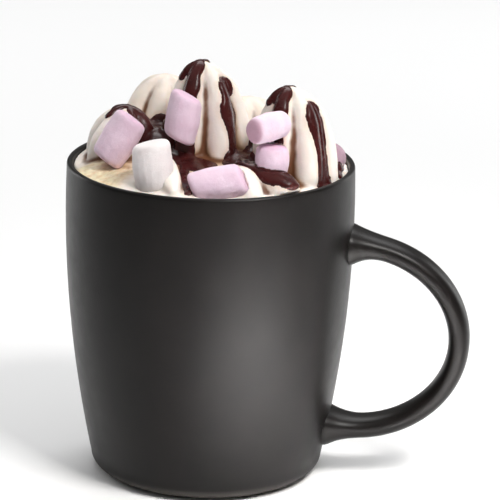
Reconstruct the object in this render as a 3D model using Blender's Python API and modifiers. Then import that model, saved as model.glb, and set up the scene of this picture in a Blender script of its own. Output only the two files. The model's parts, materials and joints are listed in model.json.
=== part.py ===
"""A mug of hot chocolate heaped with piped cream, chocolate sauce and mini marshmallows.

Metres, +Z up. The mug stands on Z = 0 with its handle along +X, and the origin is under the middle of
the box round mug and handle. Everything on the drink is laid out about the mug's axis in plan, x to
the right and y away from someone who faces the mug, and an empty turns that layout on the mug.
"""

import math

import bmesh
import bpy
from mathutils import Matrix, Vector

# Mug: a barrel side, widest near the top, on a rounded foot
MUG_HEIGHT = 0.095
BELLY_RADIUS = 0.04285
BELLY_AT = 0.85
SIDE_CURVE = 0.0126
FOOT_RADIUS = 0.028
FOOT_ROUND_HEIGHT = 0.005
FOOT_RING_WIDTH = 0.003
FOOT_RECESS = 0.0015
LIP_THICKNESS = 0.0019
WALL = 0.0036
WALL_FULL_BELOW_LIP = 0.020
FLOOR = 0.0055
FLOOR_ROUND = 0.009
MUG_STEPS = 48

# Handle: an elliptical loop of oval section that flares into the wall
LOOP_CENTRE_RADIUS = 0.044
LOOP_CENTRE_HEIGHT = 0.0432
LOOP_HALF_REACH = 0.0313
LOOP_HALF_HEIGHT = 0.0284
STRAP_THICKNESS = 0.0063
STRAP_WIDTH = 0.0118
STRAP_SQUARENESS = 2.5
STRAP_SIDES = 14
ROOT_FLARE = 0.38
ROOT_FLARE_LENGTH = 0.011
ROOT_SINK = 0.0013
LOOP_STEPS = 22

# Contents
GAP = 0.0003
DRINK_LEVEL = 0.086
DRINK_STEPS = 32
BED_STEPS = 36
CREAM_EDGE_LEVEL = 0.0937
CREAM_CROWN = 0.0058
CREAM_RADIUS = 0.0399
SAUCE_THICKNESS = 0.0009
SAUCE_FROM = 0.091
SAUCE_TO = 0.150
TOPPING_TURN = math.radians(6)

# Piped swirls: x, y, height over the rim, base radius, degrees of the first crease, lean of the tip in x
SWIRLS = (
    (-0.0010, -0.0010, 0.0302, 0.0136, 264, -0.0022),
    (0.0245, -0.0140, 0.0264, 0.0128, 264, -0.0020),
    (-0.0155, 0.0205, 0.0213, 0.0138, 230, 0.0010),
    (-0.0265, 0.0030, 0.0152, 0.0118, 245, 0.0008),
    (0.0115, 0.0230, 0.0140, 0.0138, 275, -0.0010),
    (0.0265, 0.0130, 0.0088, 0.0115, 250, 0.0000),
    (0.0120, 0.0030, 0.0080, 0.0110, 270, 0.0000),
)
SWIRL_LOBES = 6
SWIRL_CREASE = 0.30
SWIRL_TURN = math.radians(14)
SWIRL_STEPS = 18
SWIRL_RINGS = 7
SWIRL_BLUNT = 2.4
SWIRL_FULL = 2.0

# Folds of cream that lie between the swirls and the rim: start, end and radius
FOLDS = (
    ((-0.0135, -0.0150, 0.0990), (-0.0103, -0.0360, 0.0955), 0.0033),
    ((0.0095, -0.0230, 0.0985), (0.0125, -0.0365, 0.0935), 0.0042),
    ((0.0125, -0.0258, 0.0980), (0.0230, -0.0325, 0.0945), 0.0048),
    ((-0.0160, 0.0080, 0.0985), (-0.0150, -0.0070, 0.0965), 0.0060),
    ((0.0300, -0.0100, 0.0980), (0.0355, -0.0090, 0.0930), 0.0050),
    ((-0.0020, 0.0290, 0.0960), (0.0020, 0.0370, 0.0930), 0.0060),
)

# Sauce as it lies in plan: width, then points
DRIZZLES = (
    (0.0060, ((-0.0052, -0.0012), (-0.0058, -0.0052), (-0.0070, -0.0085), (-0.0078, -0.0115),
               (-0.0080, -0.0150))),
    (0.0024, ((-0.0056, -0.0005), (-0.0090, -0.0022))),
    (0.0064, ((0.0034, -0.0045), (0.0042, -0.0070), (0.0057, -0.0088), (0.0073, -0.0105),
               (0.0088, -0.0150))),
    (0.0034, ((-0.0302, 0.0004), (-0.0278, 0.0022), (-0.0245, 0.0025), (-0.0215, 0.0005))),
    (0.0064, ((-0.0222, 0.0010), (-0.0195, -0.0015), (-0.0165, -0.0045), (-0.0135, -0.0080))),
    (0.0080, ((-0.0152, 0.0072), (-0.0150, 0.0010), (-0.0138, -0.0062), (-0.0090, -0.0128),
               (-0.0022, -0.0182))),
    (0.0025, ((-0.0076, -0.0170), (-0.0070, -0.0270), (-0.0058, -0.0368))),
    (0.0060, ((0.0202, -0.0145), (0.0196, -0.0182), (0.0185, -0.0215), (0.0177, -0.0245),
               (0.0165, -0.0275))),
    (0.0024, ((0.0200, -0.0135), (0.0166, -0.0152))),
    (0.0064, ((0.0289, -0.0175), (0.0297, -0.0200), (0.0311, -0.0216), (0.0322, -0.0224))),
    (0.0030, ((0.0372, -0.0130), (0.0380, -0.0095))),
    (0.0062, ((0.0135, 0.0020), (0.0125, -0.0050), (0.0105, -0.0110))),
    (0.0090, ((0.0085, -0.0150), (0.0115, -0.0215), (0.0165, -0.0285), (0.0225, -0.0318))),
    (0.0045, ((-0.0030, 0.0020), (-0.0010, 0.0100), (0.0015, 0.0170), (0.0030, 0.0220))),
    (0.0045, ((-0.0250, 0.0300), (-0.0190, 0.0325), (-0.0130, 0.0345), (-0.0060, 0.0350))),
    (0.0045, ((0.0040, 0.0365), (0.0110, 0.0345), (0.0180, 0.0320), (0.0255, 0.0280))),
    (0.0038, ((0.0225, -0.0110), (0.0235, -0.0030), (0.0230, 0.0070), (0.0215, 0.0150))),
)
DRIZZLE_STEPS = 2
DRIZZLE_END_STEPS = 3

# Marshmallows: name, centre, axis, slant of the cut ends, length, diameter, colour
PINK = (0.83, 0.62, 0.73)
MAUVE = (0.60, 0.38, 0.48)
WHITE = (0.84, 0.78, 0.77)
MARSHMALLOWS = (
    ("white_front", (-0.0162, -0.0288, 0.1007), (-0.12, 0.05, 1.0), (0.10, 0.0, 0.0), 0.0138, 0.0119, WHITE),
    ("left", (-0.0268, -0.0120, 0.1040), (0.52, 0.16, 0.86), (-0.10, 0.0, 0.0), 0.0150, 0.0110, PINK),
    ("on_peak", (-0.0082, -0.0138, 0.1114), (0.17, 0.08, 0.98), (-0.30, 0.0, 0.0), 0.0136, 0.0104, PINK),
    ("front", (0.0026, -0.0338, 0.0971), (0.97, 0.02, 0.22), (0.0, 0.0, -0.22), 0.0154, 0.0106, PINK),
    ("upper_right", (0.0166, -0.0264, 0.1122), (0.74, 0.66, 0.06), (0.0, 0.0, 0.12), 0.0122, 0.0088, MAUVE),
    ("lower_right", (0.0178, -0.0266, 0.1026), (0.04, 0.10, 0.99), (-0.05, 0.0, 0.0), 0.0086, 0.0102, PINK),
    ("right_rim", (0.0342, -0.0048, 0.0966), (0.30, 0.95, 0.05), (0.0, 0.0, 0.15), 0.0125, 0.0098, MAUVE),
    ("middle_back", (-0.0015, 0.0175, 0.1020), (0.85, 0.40, 0.30), (0.0, 0.0, 0.20), 0.0135, 0.0104, PINK),
    ("back_left", (-0.0298, 0.0148, 0.0978), (0.45, 0.89, 0.10), (0.0, 0.0, 0.15), 0.0118, 0.0100, WHITE),
    ("back", (0.0075, 0.0328, 0.0990), (0.95, -0.20, 0.15), (0.0, 0.0, -0.18), 0.0140, 0.0104, PINK),
    ("back_right", (0.0245, 0.0240, 0.0995), (0.25, 0.10, 0.95), (0.20, 0.10, 0.0), 0.0130, 0.0104, WHITE),
)
MARSHMALLOW_ROUND = 0.0015
MARSHMALLOW_BULGE = 0.0004
MARSHMALLOW_STEPS = 16

# Share of its triangles that the cream keeps once its pieces are joined
CREAM_KEPT = 0.44

SCREW_MERGE = 0.00001


def clear_scene():
    for obj in list(bpy.data.objects):
        bpy.data.objects.remove(obj)


def new_collection(name):
    collection = bpy.data.collections.new(name)
    bpy.context.scene.collection.children.link(collection)
    return collection


def material(name, colour, roughness):
    made = bpy.data.materials.new(name)
    made.use_nodes = True
    shader = made.node_tree.nodes["Principled BSDF"]
    shader.inputs["Base Color"].default_value = (*colour, 1.0)
    shader.inputs["Roughness"].default_value = roughness
    shader.inputs["Metallic"].default_value = 0.0
    return made


def evaluated_mesh(obj):
    graph = bpy.context.evaluated_depsgraph_get()
    return bpy.data.meshes.new_from_object(obj.evaluated_get(graph), depsgraph=graph)


def bake(obj):
    """Replaces the object's mesh with the result of its modifiers."""
    mesh = evaluated_mesh(obj)
    obj.modifiers.clear()
    obj.data = mesh


def mesh_object(name, mesh):
    obj = bpy.data.objects.new(name, mesh)
    bpy.context.scene.collection.objects.link(obj)
    return obj


def curve_to_mesh(curve_obj):
    """Takes the place of a curve object with a mesh of it, its caps welded on."""
    mesh = evaluated_mesh(curve_obj)
    shape = bmesh.new()
    shape.from_mesh(mesh)
    bmesh.ops.remove_doubles(shape, verts=shape.verts, dist=SCREW_MERGE)
    bmesh.ops.recalc_face_normals(shape, faces=shape.faces)
    shape.to_mesh(mesh)
    shape.free()
    obj = mesh_object(curve_obj.name, mesh)
    obj.matrix_world = curve_obj.matrix_world.copy()
    bpy.data.objects.remove(curve_obj)
    return obj


def turned(name, profile, steps):
    """A solid of revolution about Z from a profile of (radius, height) that starts and ends on the axis."""
    mesh = bpy.data.meshes.new(name)
    points = [(radius, 0.0, height) for radius, height in profile]
    edges = [(i, i + 1) for i in range(len(points) - 1)]
    mesh.from_pydata(points, edges, [])
    obj = mesh_object(name, mesh)
    screw = obj.modifiers.new("Screw", "SCREW")
    screw.steps = steps
    screw.render_steps = steps
    screw.use_merge_vertices = True
    screw.merge_threshold = SCREW_MERGE
    bake(obj)
    return obj


def flat_faces(obj):
    """Splits every face into triangles, so that a Boolean meets flat faces alone."""
    shape = bmesh.new()
    shape.from_mesh(obj.data)
    bmesh.ops.triangulate(shape, faces=shape.faces)
    shape.to_mesh(obj.data)
    shape.free()


def thin_out(obj, kept):
    """Merges the short edges that joining leaves, down to this share of the triangles."""
    flat_faces(obj)
    modifier = obj.modifiers.new("Decimate", "DECIMATE")
    modifier.ratio = kept
    bake(obj)


def boolean(target, operation, other, solver="MANIFOLD"):
    """Applies one Boolean of another object to the target, and removes the other."""
    flat_faces(target)
    flat_faces(other)
    modifier = target.modifiers.new("Boolean", "BOOLEAN")
    modifier.operation = operation
    modifier.solver = solver
    modifier.object = other
    bake(target)
    bpy.data.objects.remove(other)


def boolean_group(target, operation, others, solver="MANIFOLD"):
    """Applies one Boolean of a whole collection to the target, and removes its objects."""
    flat_faces(target)
    group = new_collection("operands")
    for other in others:
        flat_faces(other)
        bpy.context.scene.collection.objects.unlink(other)
        group.objects.link(other)
    modifier = target.modifiers.new("Boolean", "BOOLEAN")
    modifier.operation = operation
    modifier.solver = solver
    modifier.operand_type = "COLLECTION"
    modifier.collection = group
    bake(target)
    for other in others:
        bpy.data.objects.remove(other)
    bpy.data.collections.remove(group)


def arc(centre, half_width, half_height, start_degrees, end_degrees, steps):
    """Points of an ellipse's arc as (radius, height)."""
    points = []
    for i in range(steps + 1):
        angle = math.radians(start_degrees + (end_degrees - start_degrees) * i / steps)
        points.append((centre[0] + half_width * math.cos(angle), centre[1] + half_height * math.sin(angle)))
    return points


def outer_radius(height):
    return BELLY_RADIUS - SIDE_CURVE * (BELLY_AT - height / MUG_HEIGHT) ** 2


def inner_radius(height):
    below_lip = min(1.0, max(0.0, (MUG_HEIGHT - height) / WALL_FULL_BELOW_LIP))
    return outer_radius(height) - LIP_THICKNESS - (WALL - LIP_THICKNESS) * below_lip


def mug_profile():
    """From the floor's middle up the inside, over the lip, down the outside and under the foot."""
    lip_half = LIP_THICKNESS / 2
    lip_height = MUG_HEIGHT - lip_half
    lip_middle = outer_radius(lip_height) - lip_half
    floor_edge = inner_radius(FLOOR + FLOOR_ROUND)
    inside = [(0.0, FLOOR)]
    inside += arc((floor_edge - FLOOR_ROUND, FLOOR + FLOOR_ROUND), FLOOR_ROUND, FLOOR_ROUND, -90, 0, 3)
    for share in (0.4, 0.65, 0.86):
        height = share * MUG_HEIGHT
        inside.append((inner_radius(height), height))
    lip = arc((lip_middle, lip_height), lip_half, lip_half, 180, 0, 5)
    outside = []
    for share in (0.85, 0.7, 0.57, 0.45, 0.33, 0.22, 0.12):
        height = share * MUG_HEIGHT
        outside.append((outer_radius(height), height))
    foot_edge = outer_radius(FOOT_ROUND_HEIGHT)
    round_width = foot_edge - FOOT_RADIUS
    foot = arc((FOOT_RADIUS, FOOT_ROUND_HEIGHT), round_width, FOOT_ROUND_HEIGHT, 0, -90, 4)
    ring_inside = FOOT_RADIUS - FOOT_RING_WIDTH
    foot += [(ring_inside, 0.0), (ring_inside - FOOT_RECESS, FOOT_RECESS), (0.0, FOOT_RECESS)]
    return inside + lip + outside + foot


def strap_section():
    """The handle's section, an oval with flattened faces, as a closed curve."""
    curve = bpy.data.curves.new("strap_section", "CURVE")
    curve.dimensions = "2D"
    spline = curve.splines.new("POLY")
    spline.points.add(STRAP_SIDES - 1)
    spline.use_cyclic_u = True
    power = 2 / STRAP_SQUARENESS
    for i, point in enumerate(spline.points):
        angle = 2 * math.pi * i / STRAP_SIDES
        across = math.copysign(abs(math.cos(angle)) ** power, math.cos(angle))
        along = math.copysign(abs(math.sin(angle)) ** power, math.sin(angle))
        point.co = (STRAP_WIDTH / 2 * along, STRAP_THICKNESS / 2 * across, 0.0, 1.0)
    obj = bpy.data.objects.new("strap_section", curve)
    bpy.context.scene.collection.objects.link(obj)
    return obj


def loop_points():
    """The handle's centre line in the plane of the mug's axis, from wall to wall."""
    centre = (LOOP_CENTRE_RADIUS, LOOP_CENTRE_HEIGHT)
    loop = arc(centre, LOOP_HALF_REACH, LOOP_HALF_HEIGHT, 90, -90, LOOP_STEPS)
    top = LOOP_CENTRE_HEIGHT + LOOP_HALF_HEIGHT
    bottom = LOOP_CENTRE_HEIGHT - LOOP_HALF_HEIGHT
    upper_root = (outer_radius(top) - ROOT_SINK, top)
    lower_wall = outer_radius(bottom) - ROOT_SINK
    lower_middle = (0.5 * (lower_wall + LOOP_CENTRE_RADIUS), bottom)
    return [upper_root] + loop + [lower_middle, (lower_wall, bottom)]


def handle():
    points = loop_points()
    lengths = [0.0]
    for a, b in zip(points, points[1:]):
        lengths.append(lengths[-1] + math.dist(a, b))
    curve = bpy.data.curves.new("handle", "CURVE")
    curve.dimensions = "3D"
    spline = curve.splines.new("POLY")
    spline.points.add(len(points) - 1)
    for point, place, length in zip(spline.points, points, lengths):
        from_root = min(length, lengths[-1] - length)
        flare = ROOT_FLARE * max(0.0, 1 - from_root / ROOT_FLARE_LENGTH) ** 2
        point.co = (place[0], 0.0, place[1], 1.0)
        point.radius = 1.0 + flare
    section = strap_section()
    curve.bevel_mode = "OBJECT"
    curve.bevel_object = section
    curve.use_fill_caps = True
    obj = bpy.data.objects.new("handle", curve)
    bpy.context.scene.collection.objects.link(obj)
    made = curve_to_mesh(obj)
    bpy.data.objects.remove(section)
    return made


def cup():
    body = turned("cup", mug_profile(), MUG_STEPS)
    boolean(body, "UNION", handle(), "EXACT")
    return body


def drink():
    """The chocolate that fills the mug up to the underside of the cream."""
    low = FLOOR + GAP
    floor_edge = inner_radius(FLOOR + FLOOR_ROUND) - GAP
    profile = [(0.0, DRINK_LEVEL)]
    for share in (1.0, 0.75, 0.5, 0.3):
        height = share * DRINK_LEVEL
        profile.append((inner_radius(height) - GAP, height))
    profile += arc((floor_edge - FLOOR_ROUND, low + FLOOR_ROUND), FLOOR_ROUND, FLOOR_ROUND, 0, -90, 3)
    profile.append((0.0, low))
    return turned("drink", profile, DRINK_STEPS)


def cream_bed(grow):
    """The layer of cream that floats on the drink and carries the swirls, gently crowned and uneven."""
    bed_radius = CREAM_RADIUS + 0.003
    profile = [(0.0, CREAM_EDGE_LEVEL + CREAM_CROWN + grow)]
    for share in (0.2, 0.4, 0.6, 0.8, 0.92, 1.0):
        height = CREAM_EDGE_LEVEL + CREAM_CROWN * (1 - share**2) + grow
        profile.append((share * bed_radius, height))
    profile += [(bed_radius, DRINK_LEVEL + GAP - grow), (0.0, DRINK_LEVEL + GAP - grow)]
    bed = turned("bed", profile, BED_STEPS)
    for vertex in bed.data.vertices:
        if vertex.co.z > DRINK_LEVEL + 0.002:
            x, y = vertex.co.x, vertex.co.y
            vertex.co.z += 0.0006 * math.sin(260 * x + 1.0) * math.cos(230 * y - 0.6)
    return bed


def swirl(x, y, height, radius, crease_degrees, lean, grow):
    """One piped swirl: a blunt dome whose flutes meet in deep creases and turn as they rise to a bent tip."""
    foot = CREAM_EDGE_LEVEL - 0.002
    rise = MUG_HEIGHT + height - foot
    profile = [(0.0, rise)]
    for ring in range(1, SWIRL_RINGS + 1):
        share = math.cos(0.5 * math.pi * ring / SWIRL_RINGS)
        profile.append((radius * (1 - share**SWIRL_BLUNT) ** (1 / SWIRL_FULL), rise * share))
    profile.append((0.0, 0.0))
    made = turned("swirl", profile, SWIRL_STEPS)
    crease = math.radians(crease_degrees)
    for vertex in made.data.vertices:
        out = math.hypot(vertex.co.x, vertex.co.y)
        angle = math.atan2(vertex.co.y, vertex.co.x)
        share = vertex.co.z / rise
        lobe = abs(math.sin(0.5 * SWIRL_LOBES * angle))
        out *= 1 - SWIRL_CREASE * (1 - lobe**0.8)
        out += grow if out > 0 else 0.0
        turn = angle + crease + SWIRL_TURN * (share - 0.3)
        bend = lean * share**3
        lift = grow if share > 0 else -grow
        vertex.co = (x + out * math.cos(turn) + bend, y + out * math.sin(turn), foot + vertex.co.z + lift)
    return made


def fold(start, end, radius, grow):
    """A soft roll of cream between two points, full in the middle and drawn in at its ends."""
    steps = 5
    curve = bpy.data.curves.new("fold", "CURVE")
    curve.dimensions = "3D"
    curve.bevel_depth = radius
    curve.bevel_resolution = 2
    curve.use_fill_caps = True
    spline = curve.splines.new("POLY")
    spline.points.add(steps)
    along = Vector(end) - Vector(start)
    for i, point in enumerate(spline.points):
        share = i / steps
        place = Vector(start) - along.normalized() * radius * 0.8
        place += (along + along.normalized() * radius * 1.6) * share
        point.co = (*place, 1.0)
        point.radius = (0.12 + 0.88 * math.sin(math.pi * share) ** 0.55) * (1 + grow / radius)
    obj = bpy.data.objects.new("fold", curve)
    bpy.context.scene.collection.objects.link(obj)
    return curve_to_mesh(obj)


def cream_heap(grow):
    heap = cream_bed(grow)
    pieces = [swirl(*row, grow) for row in SWIRLS]
    pieces += [fold(*row, grow) for row in FOLDS]
    boolean_group(heap, "UNION", pieces)
    return heap


def smooth_path(points, steps):
    """Points along a Catmull-Rom curve through the given ones."""
    ends = [points[0]] + list(points) + [points[-1]]
    path = []
    for i in range(1, len(ends) - 2):
        a, b, c, d = (Vector(ends[i + k]) for k in (-1, 0, 1, 2))
        for j in range(steps):
            t = j / steps
            path.append(0.5 * (2 * b + (c - a) * t + (2 * a - 5 * b + 4 * c - d) * t**2
                               + (3 * b - a - 3 * c + d) * t**3))
    path.append(Vector(points[-1]))
    return path


def drizzle_column(width, points):
    """The space over one run of sauce: its round-ended outline in plan, drawn up through the cream."""
    path = smooth_path(points, DRIZZLE_STEPS)
    half = width / 2
    sides = []
    for i, place in enumerate(path):
        ahead = (path[min(i + 1, len(path) - 1)] - path[max(i - 1, 0)]).normalized()
        swell = 1 + 0.12 * math.sin(2.3 * i + 40 * width)
        sides.append((place, Vector((-ahead.y, ahead.x)) * half * swell, ahead))
    outline = [place + side for place, side, _ in sides]
    for (place, side, ahead), turned_back in ((sides[-1], 1), (sides[0], -1)):
        for k in range(1, DRIZZLE_END_STEPS):
            angle = math.pi * k / DRIZZLE_END_STEPS
            across = side * math.cos(angle) * turned_back
            outline.append(place + across + ahead * side.length * math.sin(angle) * turned_back)
        if turned_back == 1:
            outline += [place - side for place, side, _ in reversed(sides)]
    curve = bpy.data.curves.new("drizzle", "CURVE")
    curve.dimensions = "2D"
    curve.fill_mode = "BOTH"
    curve.extrude = (SAUCE_TO - SAUCE_FROM) / 2
    spline = curve.splines.new("POLY")
    spline.points.add(len(outline) - 1)
    spline.use_cyclic_u = True
    for point, place in zip(spline.points, outline):
        point.co = (place.x, place.y, 0.0, 1.0)
    obj = bpy.data.objects.new("drizzle", curve)
    bpy.context.scene.collection.objects.link(obj)
    obj.location.z = (SAUCE_FROM + SAUCE_TO) / 2
    bpy.context.view_layer.update()
    return curve_to_mesh(obj)


def sauce():
    """The sauce: a thicker copy of the cream's surface wherever a drizzle passes over it."""
    columns = []
    for i, row in enumerate(DRIZZLES):
        column = drizzle_column(*row)
        column.data.transform(Matrix.Translation((0.0, 0.0, GAP * i)))
        columns.append(column)
    first = columns.pop(0)
    boolean_group(first, "UNION", columns)
    boolean(first, "INTERSECT", cream_heap(SAUCE_THICKNESS))
    return first


def marshmallow_profile(length, diameter, grow):
    half_length = length / 2 + grow
    half_width = diameter / 2 + grow - MARSHMALLOW_BULGE
    corner = MARSHMALLOW_ROUND
    top = arc((half_width - corner, half_length - corner), corner, corner, 90, 10, 2)
    middle = [(half_width + MARSHMALLOW_BULGE, 0.0)]
    bottom = [(radius, -height) for radius, height in reversed(top)]
    return [(0.0, half_length)] + top + middle + bottom + [(0.0, -half_length)]


def marshmallow(name, centre, axis, slant, length, diameter, grow=0.0):
    """A short cylinder of marshmallow with soft edges, lying as its axis says, its ends cut at a slant."""
    made = turned(name, marshmallow_profile(length, diameter, grow), MARSHMALLOW_STEPS)
    along = Vector(axis).normalized()
    turn = Vector((0.0, 0.0, 1.0)).rotation_difference(along)
    made.data.transform(turn.to_matrix().to_4x4())
    for vertex in made.data.vertices:
        aside = vertex.co - along * vertex.co.dot(along)
        vertex.co += along * aside.dot(Vector(slant))
    made.data.transform(Matrix.Translation(centre))
    return made


def cream():
    """Cream and sauce in one piece, kept inside the mug and off every marshmallow."""
    heap = cream_heap(0.0)
    boolean(heap, "UNION", sauce())
    bpy.ops.mesh.primitive_cylinder_add(vertices=56, radius=CREAM_RADIUS, depth=0.2, location=(0, 0, 0.1))
    boolean(heap, "INTERSECT", bpy.context.object)
    thin_out(heap, CREAM_KEPT)
    cutters = [marshmallow("cutter", *row[1:6], grow=GAP) for row in MARSHMALLOWS]
    boolean_group(heap, "DIFFERENCE", cutters)
    heap.name = "cream"
    return heap


def finish(obj, collection, made_of, parent, sharp_degrees):
    """Puts a part in its collection, with its material, its parent and smooth shading."""
    bpy.context.scene.collection.objects.unlink(obj)
    collection.objects.link(obj)
    obj.data.name = obj.name
    obj.data.materials.clear()
    obj.data.materials.append(made_of)
    obj.parent = parent
    obj.data.shade_smooth()
    obj.data.set_sharp_from_angle(angle=math.radians(sharp_degrees))


def empty(name, collection, location, turn):
    made = bpy.data.objects.new(name, None)
    made.location = location
    made.rotation_euler = (0.0, 0.0, turn)
    collection.objects.link(made)
    return made


def main():
    clear_scene()
    parts = new_collection("hot_chocolate")
    handle_reach = LOOP_CENTRE_RADIUS + LOOP_HALF_REACH + STRAP_THICKNESS / 2
    axis_x = (BELLY_RADIUS - handle_reach) / 2
    mug_axis = empty("mug_axis", parts, (axis_x, 0.0, 0.0), 0.0)
    topping_axis = empty("topping_axis", parts, (axis_x, 0.0, 0.0), TOPPING_TURN)

    stoneware = material("black_stoneware", (0.045, 0.040, 0.038), 0.45)
    chocolate = material("hot_chocolate", (0.13, 0.045, 0.022), 0.25)
    whipped = material("whipped_cream", (0.88, 0.80, 0.72), 0.50)
    sweets = {
        PINK: material("pink_marshmallow", PINK, 0.85),
        MAUVE: material("mauve_marshmallow", MAUVE, 0.85),
        WHITE: material("white_marshmallow", WHITE, 0.85),
    }

    finish(cup(), parts, stoneware, mug_axis, 40)
    finish(drink(), parts, chocolate, mug_axis, 30)
    finish(cream(), parts, whipped, topping_axis, 35)
    for name, centre, axis, slant, length, diameter, colour in MARSHMALLOWS:
        piece = marshmallow("marshmallow_" + name, centre, axis, slant, length, diameter)
        finish(piece, parts, sweets[colour], topping_axis, 60)


main()
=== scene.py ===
"""The looks of a mug of hot chocolate: glazed mug, piped cream, chocolate sauce, marshmallows."""

import json
import math

import bpy
import numpy as np
from mathutils import Matrix, Vector, noise
from mathutils.bvhtree import BVHTree


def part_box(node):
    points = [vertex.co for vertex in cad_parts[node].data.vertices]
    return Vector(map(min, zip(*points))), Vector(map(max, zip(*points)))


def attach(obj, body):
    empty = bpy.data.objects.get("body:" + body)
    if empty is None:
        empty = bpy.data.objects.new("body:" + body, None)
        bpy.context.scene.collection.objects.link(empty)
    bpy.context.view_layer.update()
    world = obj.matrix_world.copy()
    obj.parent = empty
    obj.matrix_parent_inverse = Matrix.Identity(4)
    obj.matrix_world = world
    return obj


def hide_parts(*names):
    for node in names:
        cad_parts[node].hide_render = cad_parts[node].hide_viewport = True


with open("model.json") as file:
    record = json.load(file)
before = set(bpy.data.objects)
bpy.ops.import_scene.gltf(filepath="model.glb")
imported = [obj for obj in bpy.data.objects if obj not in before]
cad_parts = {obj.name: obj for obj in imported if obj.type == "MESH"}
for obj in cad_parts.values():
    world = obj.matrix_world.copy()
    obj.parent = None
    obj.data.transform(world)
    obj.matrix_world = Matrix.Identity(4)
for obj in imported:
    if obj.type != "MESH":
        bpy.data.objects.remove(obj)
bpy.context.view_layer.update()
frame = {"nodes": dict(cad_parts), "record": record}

cup_low, cup_high = (Vector(corner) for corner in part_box("cup"))

# The mug's own sizes, read from its solid or repeated from its design, in metres
MUG_HEIGHT = cup_high.z
BELLY_RADIUS = (cup_high.y - cup_low.y) / 2
AXIS_X = cup_low.x + BELLY_RADIUS
BELLY_AT = 0.85
SIDE_CURVE = 0.0126
FOOT_RADIUS = 0.028
FOOT_ROUND_HEIGHT = 0.005
FOOT_RING_WIDTH = 0.003
FOOT_RING_EASE = 0.0003
FOOT_RECESS = 0.0015
LIP_THICKNESS = 0.0019
WALL = 0.0036
WALL_FULL_BELOW_LIP = 0.020
FLOOR = 0.0055
FLOOR_ROUND = 0.009
MUG_STEPS = 160

# The drink inside it. A layer of unevenness is how far, how fine (waves to a metre) and a seed
DRINK_GAP = 0.0003
DRINK_STEPS = 96
DRINK_WRINKLES = (0.00008, 300, 3)

# The handle's loop, a strap with a section between a rectangle and an oval
LOOP_CENTRE_RADIUS = 0.044
LOOP_CENTRE_HEIGHT = 0.0432
LOOP_HALF_REACH = 0.0313
LOOP_HALF_HEIGHT = 0.0284
STRAP_THICKNESS = 0.0063
STRAP_WIDTH = 0.0118
STRAP_SQUARENESS = 2.5
STRAP_STEPS = 40
STRAP_RINGS = 110
ROOT_FLARE = 0.0026
ROOT_FLARE_LENGTH = 0.012
ROOT_FLARE_POWER = 2.6
ROOT_SINK = 0.0013
SAME_POINT = 0.000001

# The bed of cream
CREAM_EDGE_LEVEL = 0.0937
CREAM_CROWN = 0.0058
CREAM_UNDERSIDE = 0.0863
CREAM_GAP = 0.0001
BED_EDGE_DROP = 0.001
BED_WAVE_HEIGHT = 0.0006
BED_WAVES_ALONG = (260, 1.0)
BED_WAVES_ACROSS = (230, -0.6)

# Swirls, in the layout's plan about the mug's axis, as in the solids: x, y, height over the lip,
# radius, the direction of one crease in degrees, and how far the tip leans
TOPPING_TURN = math.radians(6)
SWIRLS = (
    (-0.0010, -0.0010, 0.0302, 0.0136, 264, -0.0022),
    (0.0245, -0.0140, 0.0264, 0.0128, 264, -0.0020),
    (-0.0155, 0.0205, 0.0213, 0.0138, 230, 0.0010),
    (-0.0265, 0.0030, 0.0152, 0.0118, 245, 0.0008),
    (0.0115, 0.0230, 0.0140, 0.0138, 275, -0.0010),
    (0.0265, 0.0130, 0.0088, 0.0115, 250, 0.0000),
    (0.0120, 0.0030, 0.0080, 0.0110, 270, 0.0000),
)
SWIRL_LOBES = 6
SWIRL_CREASE = 0.33
SWIRL_TURN = math.radians(14)
SWIRL_TURN_FROM = 0.3
SWIRL_BLUNT = 2.4
SWIRL_SINK = 0.002
SWIRL_STEPS = 168
SWIRL_RINGS = 70

# Folds of cream between the swirls and the rim: start, end and radius
FOLDS = (
    ((-0.0135, -0.0150, 0.0990), (-0.0103, -0.0360, 0.0955), 0.0033),
    ((0.0095, -0.0230, 0.0985), (0.0125, -0.0365, 0.0935), 0.0042),
    ((0.0125, -0.0258, 0.0980), (0.0230, -0.0325, 0.0945), 0.0048),
    ((-0.0160, 0.0080, 0.0985), (-0.0150, -0.0070, 0.0965), 0.0060),
    ((0.0300, -0.0100, 0.0980), (0.0355, -0.0090, 0.0930), 0.0050),
    ((-0.0020, 0.0290, 0.0960), (0.0020, 0.0370, 0.0930), 0.0060),
)
FOLD_OVERRUN = 0.8
FOLD_END_SHARE = 0.1
FOLD_FULLNESS = 0.55
FOLD_STEPS = 32
FOLD_RINGS = 30

# The skin of the whole heap. Hollows are filled part of the way to a smoothed copy, cream that
# clears the lip may lean out over it, and dents follow the marshmallows at a small gap
CREAM_VOXEL = 0.00049
CREAM_SMOOTHING = 4
CREAM_LUMPS = ((0.00035, 110, 1), (0.00012, 420, 2))
HOLLOW_SMOOTHING = 30
HOLLOW_FILL = 0.5
HOLLOW_DEPTH = 0.0004
OVER_LIP = 0.0002
OVER_LIP_REACH = 0.0008
DENT_GAP = 0.00004
DENT_TOP_FACING = 0.2

# Where the cream is froth that has taken up some of the drink: x, y and radius in plan. Its
# dimples lie where a noise is near nought
FROTH = (-0.0330, -0.0190, 0.0125)
FROTH_EDGE = (0.25, 150, 9)
FROTH_REACH = 1.15
FROTH_FADE = 0.35
FROTH_TOP_FADE = 0.002
DIMPLE_DEPTH = 0.0003
DIMPLE_WIDTH = 0.35
DIMPLES = (1, 420, 4)

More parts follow.
